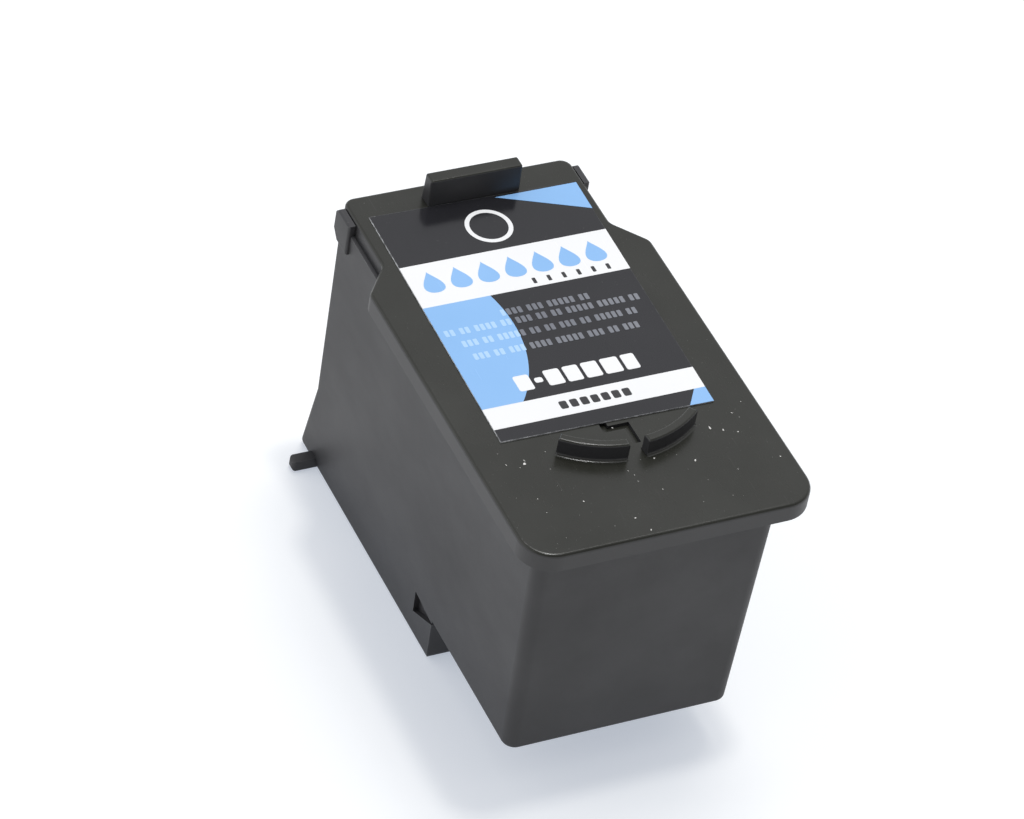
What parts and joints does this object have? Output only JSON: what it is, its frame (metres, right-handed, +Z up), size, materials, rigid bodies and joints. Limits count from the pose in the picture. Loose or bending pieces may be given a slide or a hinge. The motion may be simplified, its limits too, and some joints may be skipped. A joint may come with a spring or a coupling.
{
  "type": "inkjet ink cartridge",
  "caption": "Drop-in ink cartridge with its own print head: drafted tank, welded T-shaped lid with latch tab and raised arcs, printed label, flexible contact tape.",
  "frame": {"origin": "middle of the overall width and depth, on the resting plane under the print head", "axes": "+X across the width, +Y from the label's front towards the contact side, +Z up"},
  "size_m": [0.036, 0.0634, 0.0447],
  "materials": {
    "tank_plastic": "dark grey moulded plastic, matte",
    "lid_plastic": "black moulded plastic, semi-gloss",
    "label_film": "glossy black film",
    "label_white": "glossy white print",
    "label_blue": "glossy light blue print",
    "absorber_fibre": "bonded fibre, soaked with black ink",
    "filter_mesh": "woven steel mesh",
    "nozzle_polymer": "amber photopolymer",
    "chip_silicon": "polished silicon",
    "sealing_compound": "cured black compound, satin",
    "tape_polyimide": "amber polyimide tape with copper traces",
    "pad_gold": "gold-plated copper"
  },
  "bodies": {
    "root": {"tank_body": "tank_plastic", "tank_lid": "lid_plastic", "label_film": "label_film", "label_white_print": "label_white", "label_blue_print": "label_blue", "ink_absorber": "absorber_fibre", "filter_screen": "filter_mesh", "nozzle_layer": "nozzle_polymer", "silicon_chip": "chip_silicon", "chip_bond": "sealing_compound", "chip_sealant": "sealing_compound", "lead_sealant": "sealing_compound", "wiring_tape": "tape_polyimide", "contact_pads": "pad_gold"}
  },
  "joints": []
}
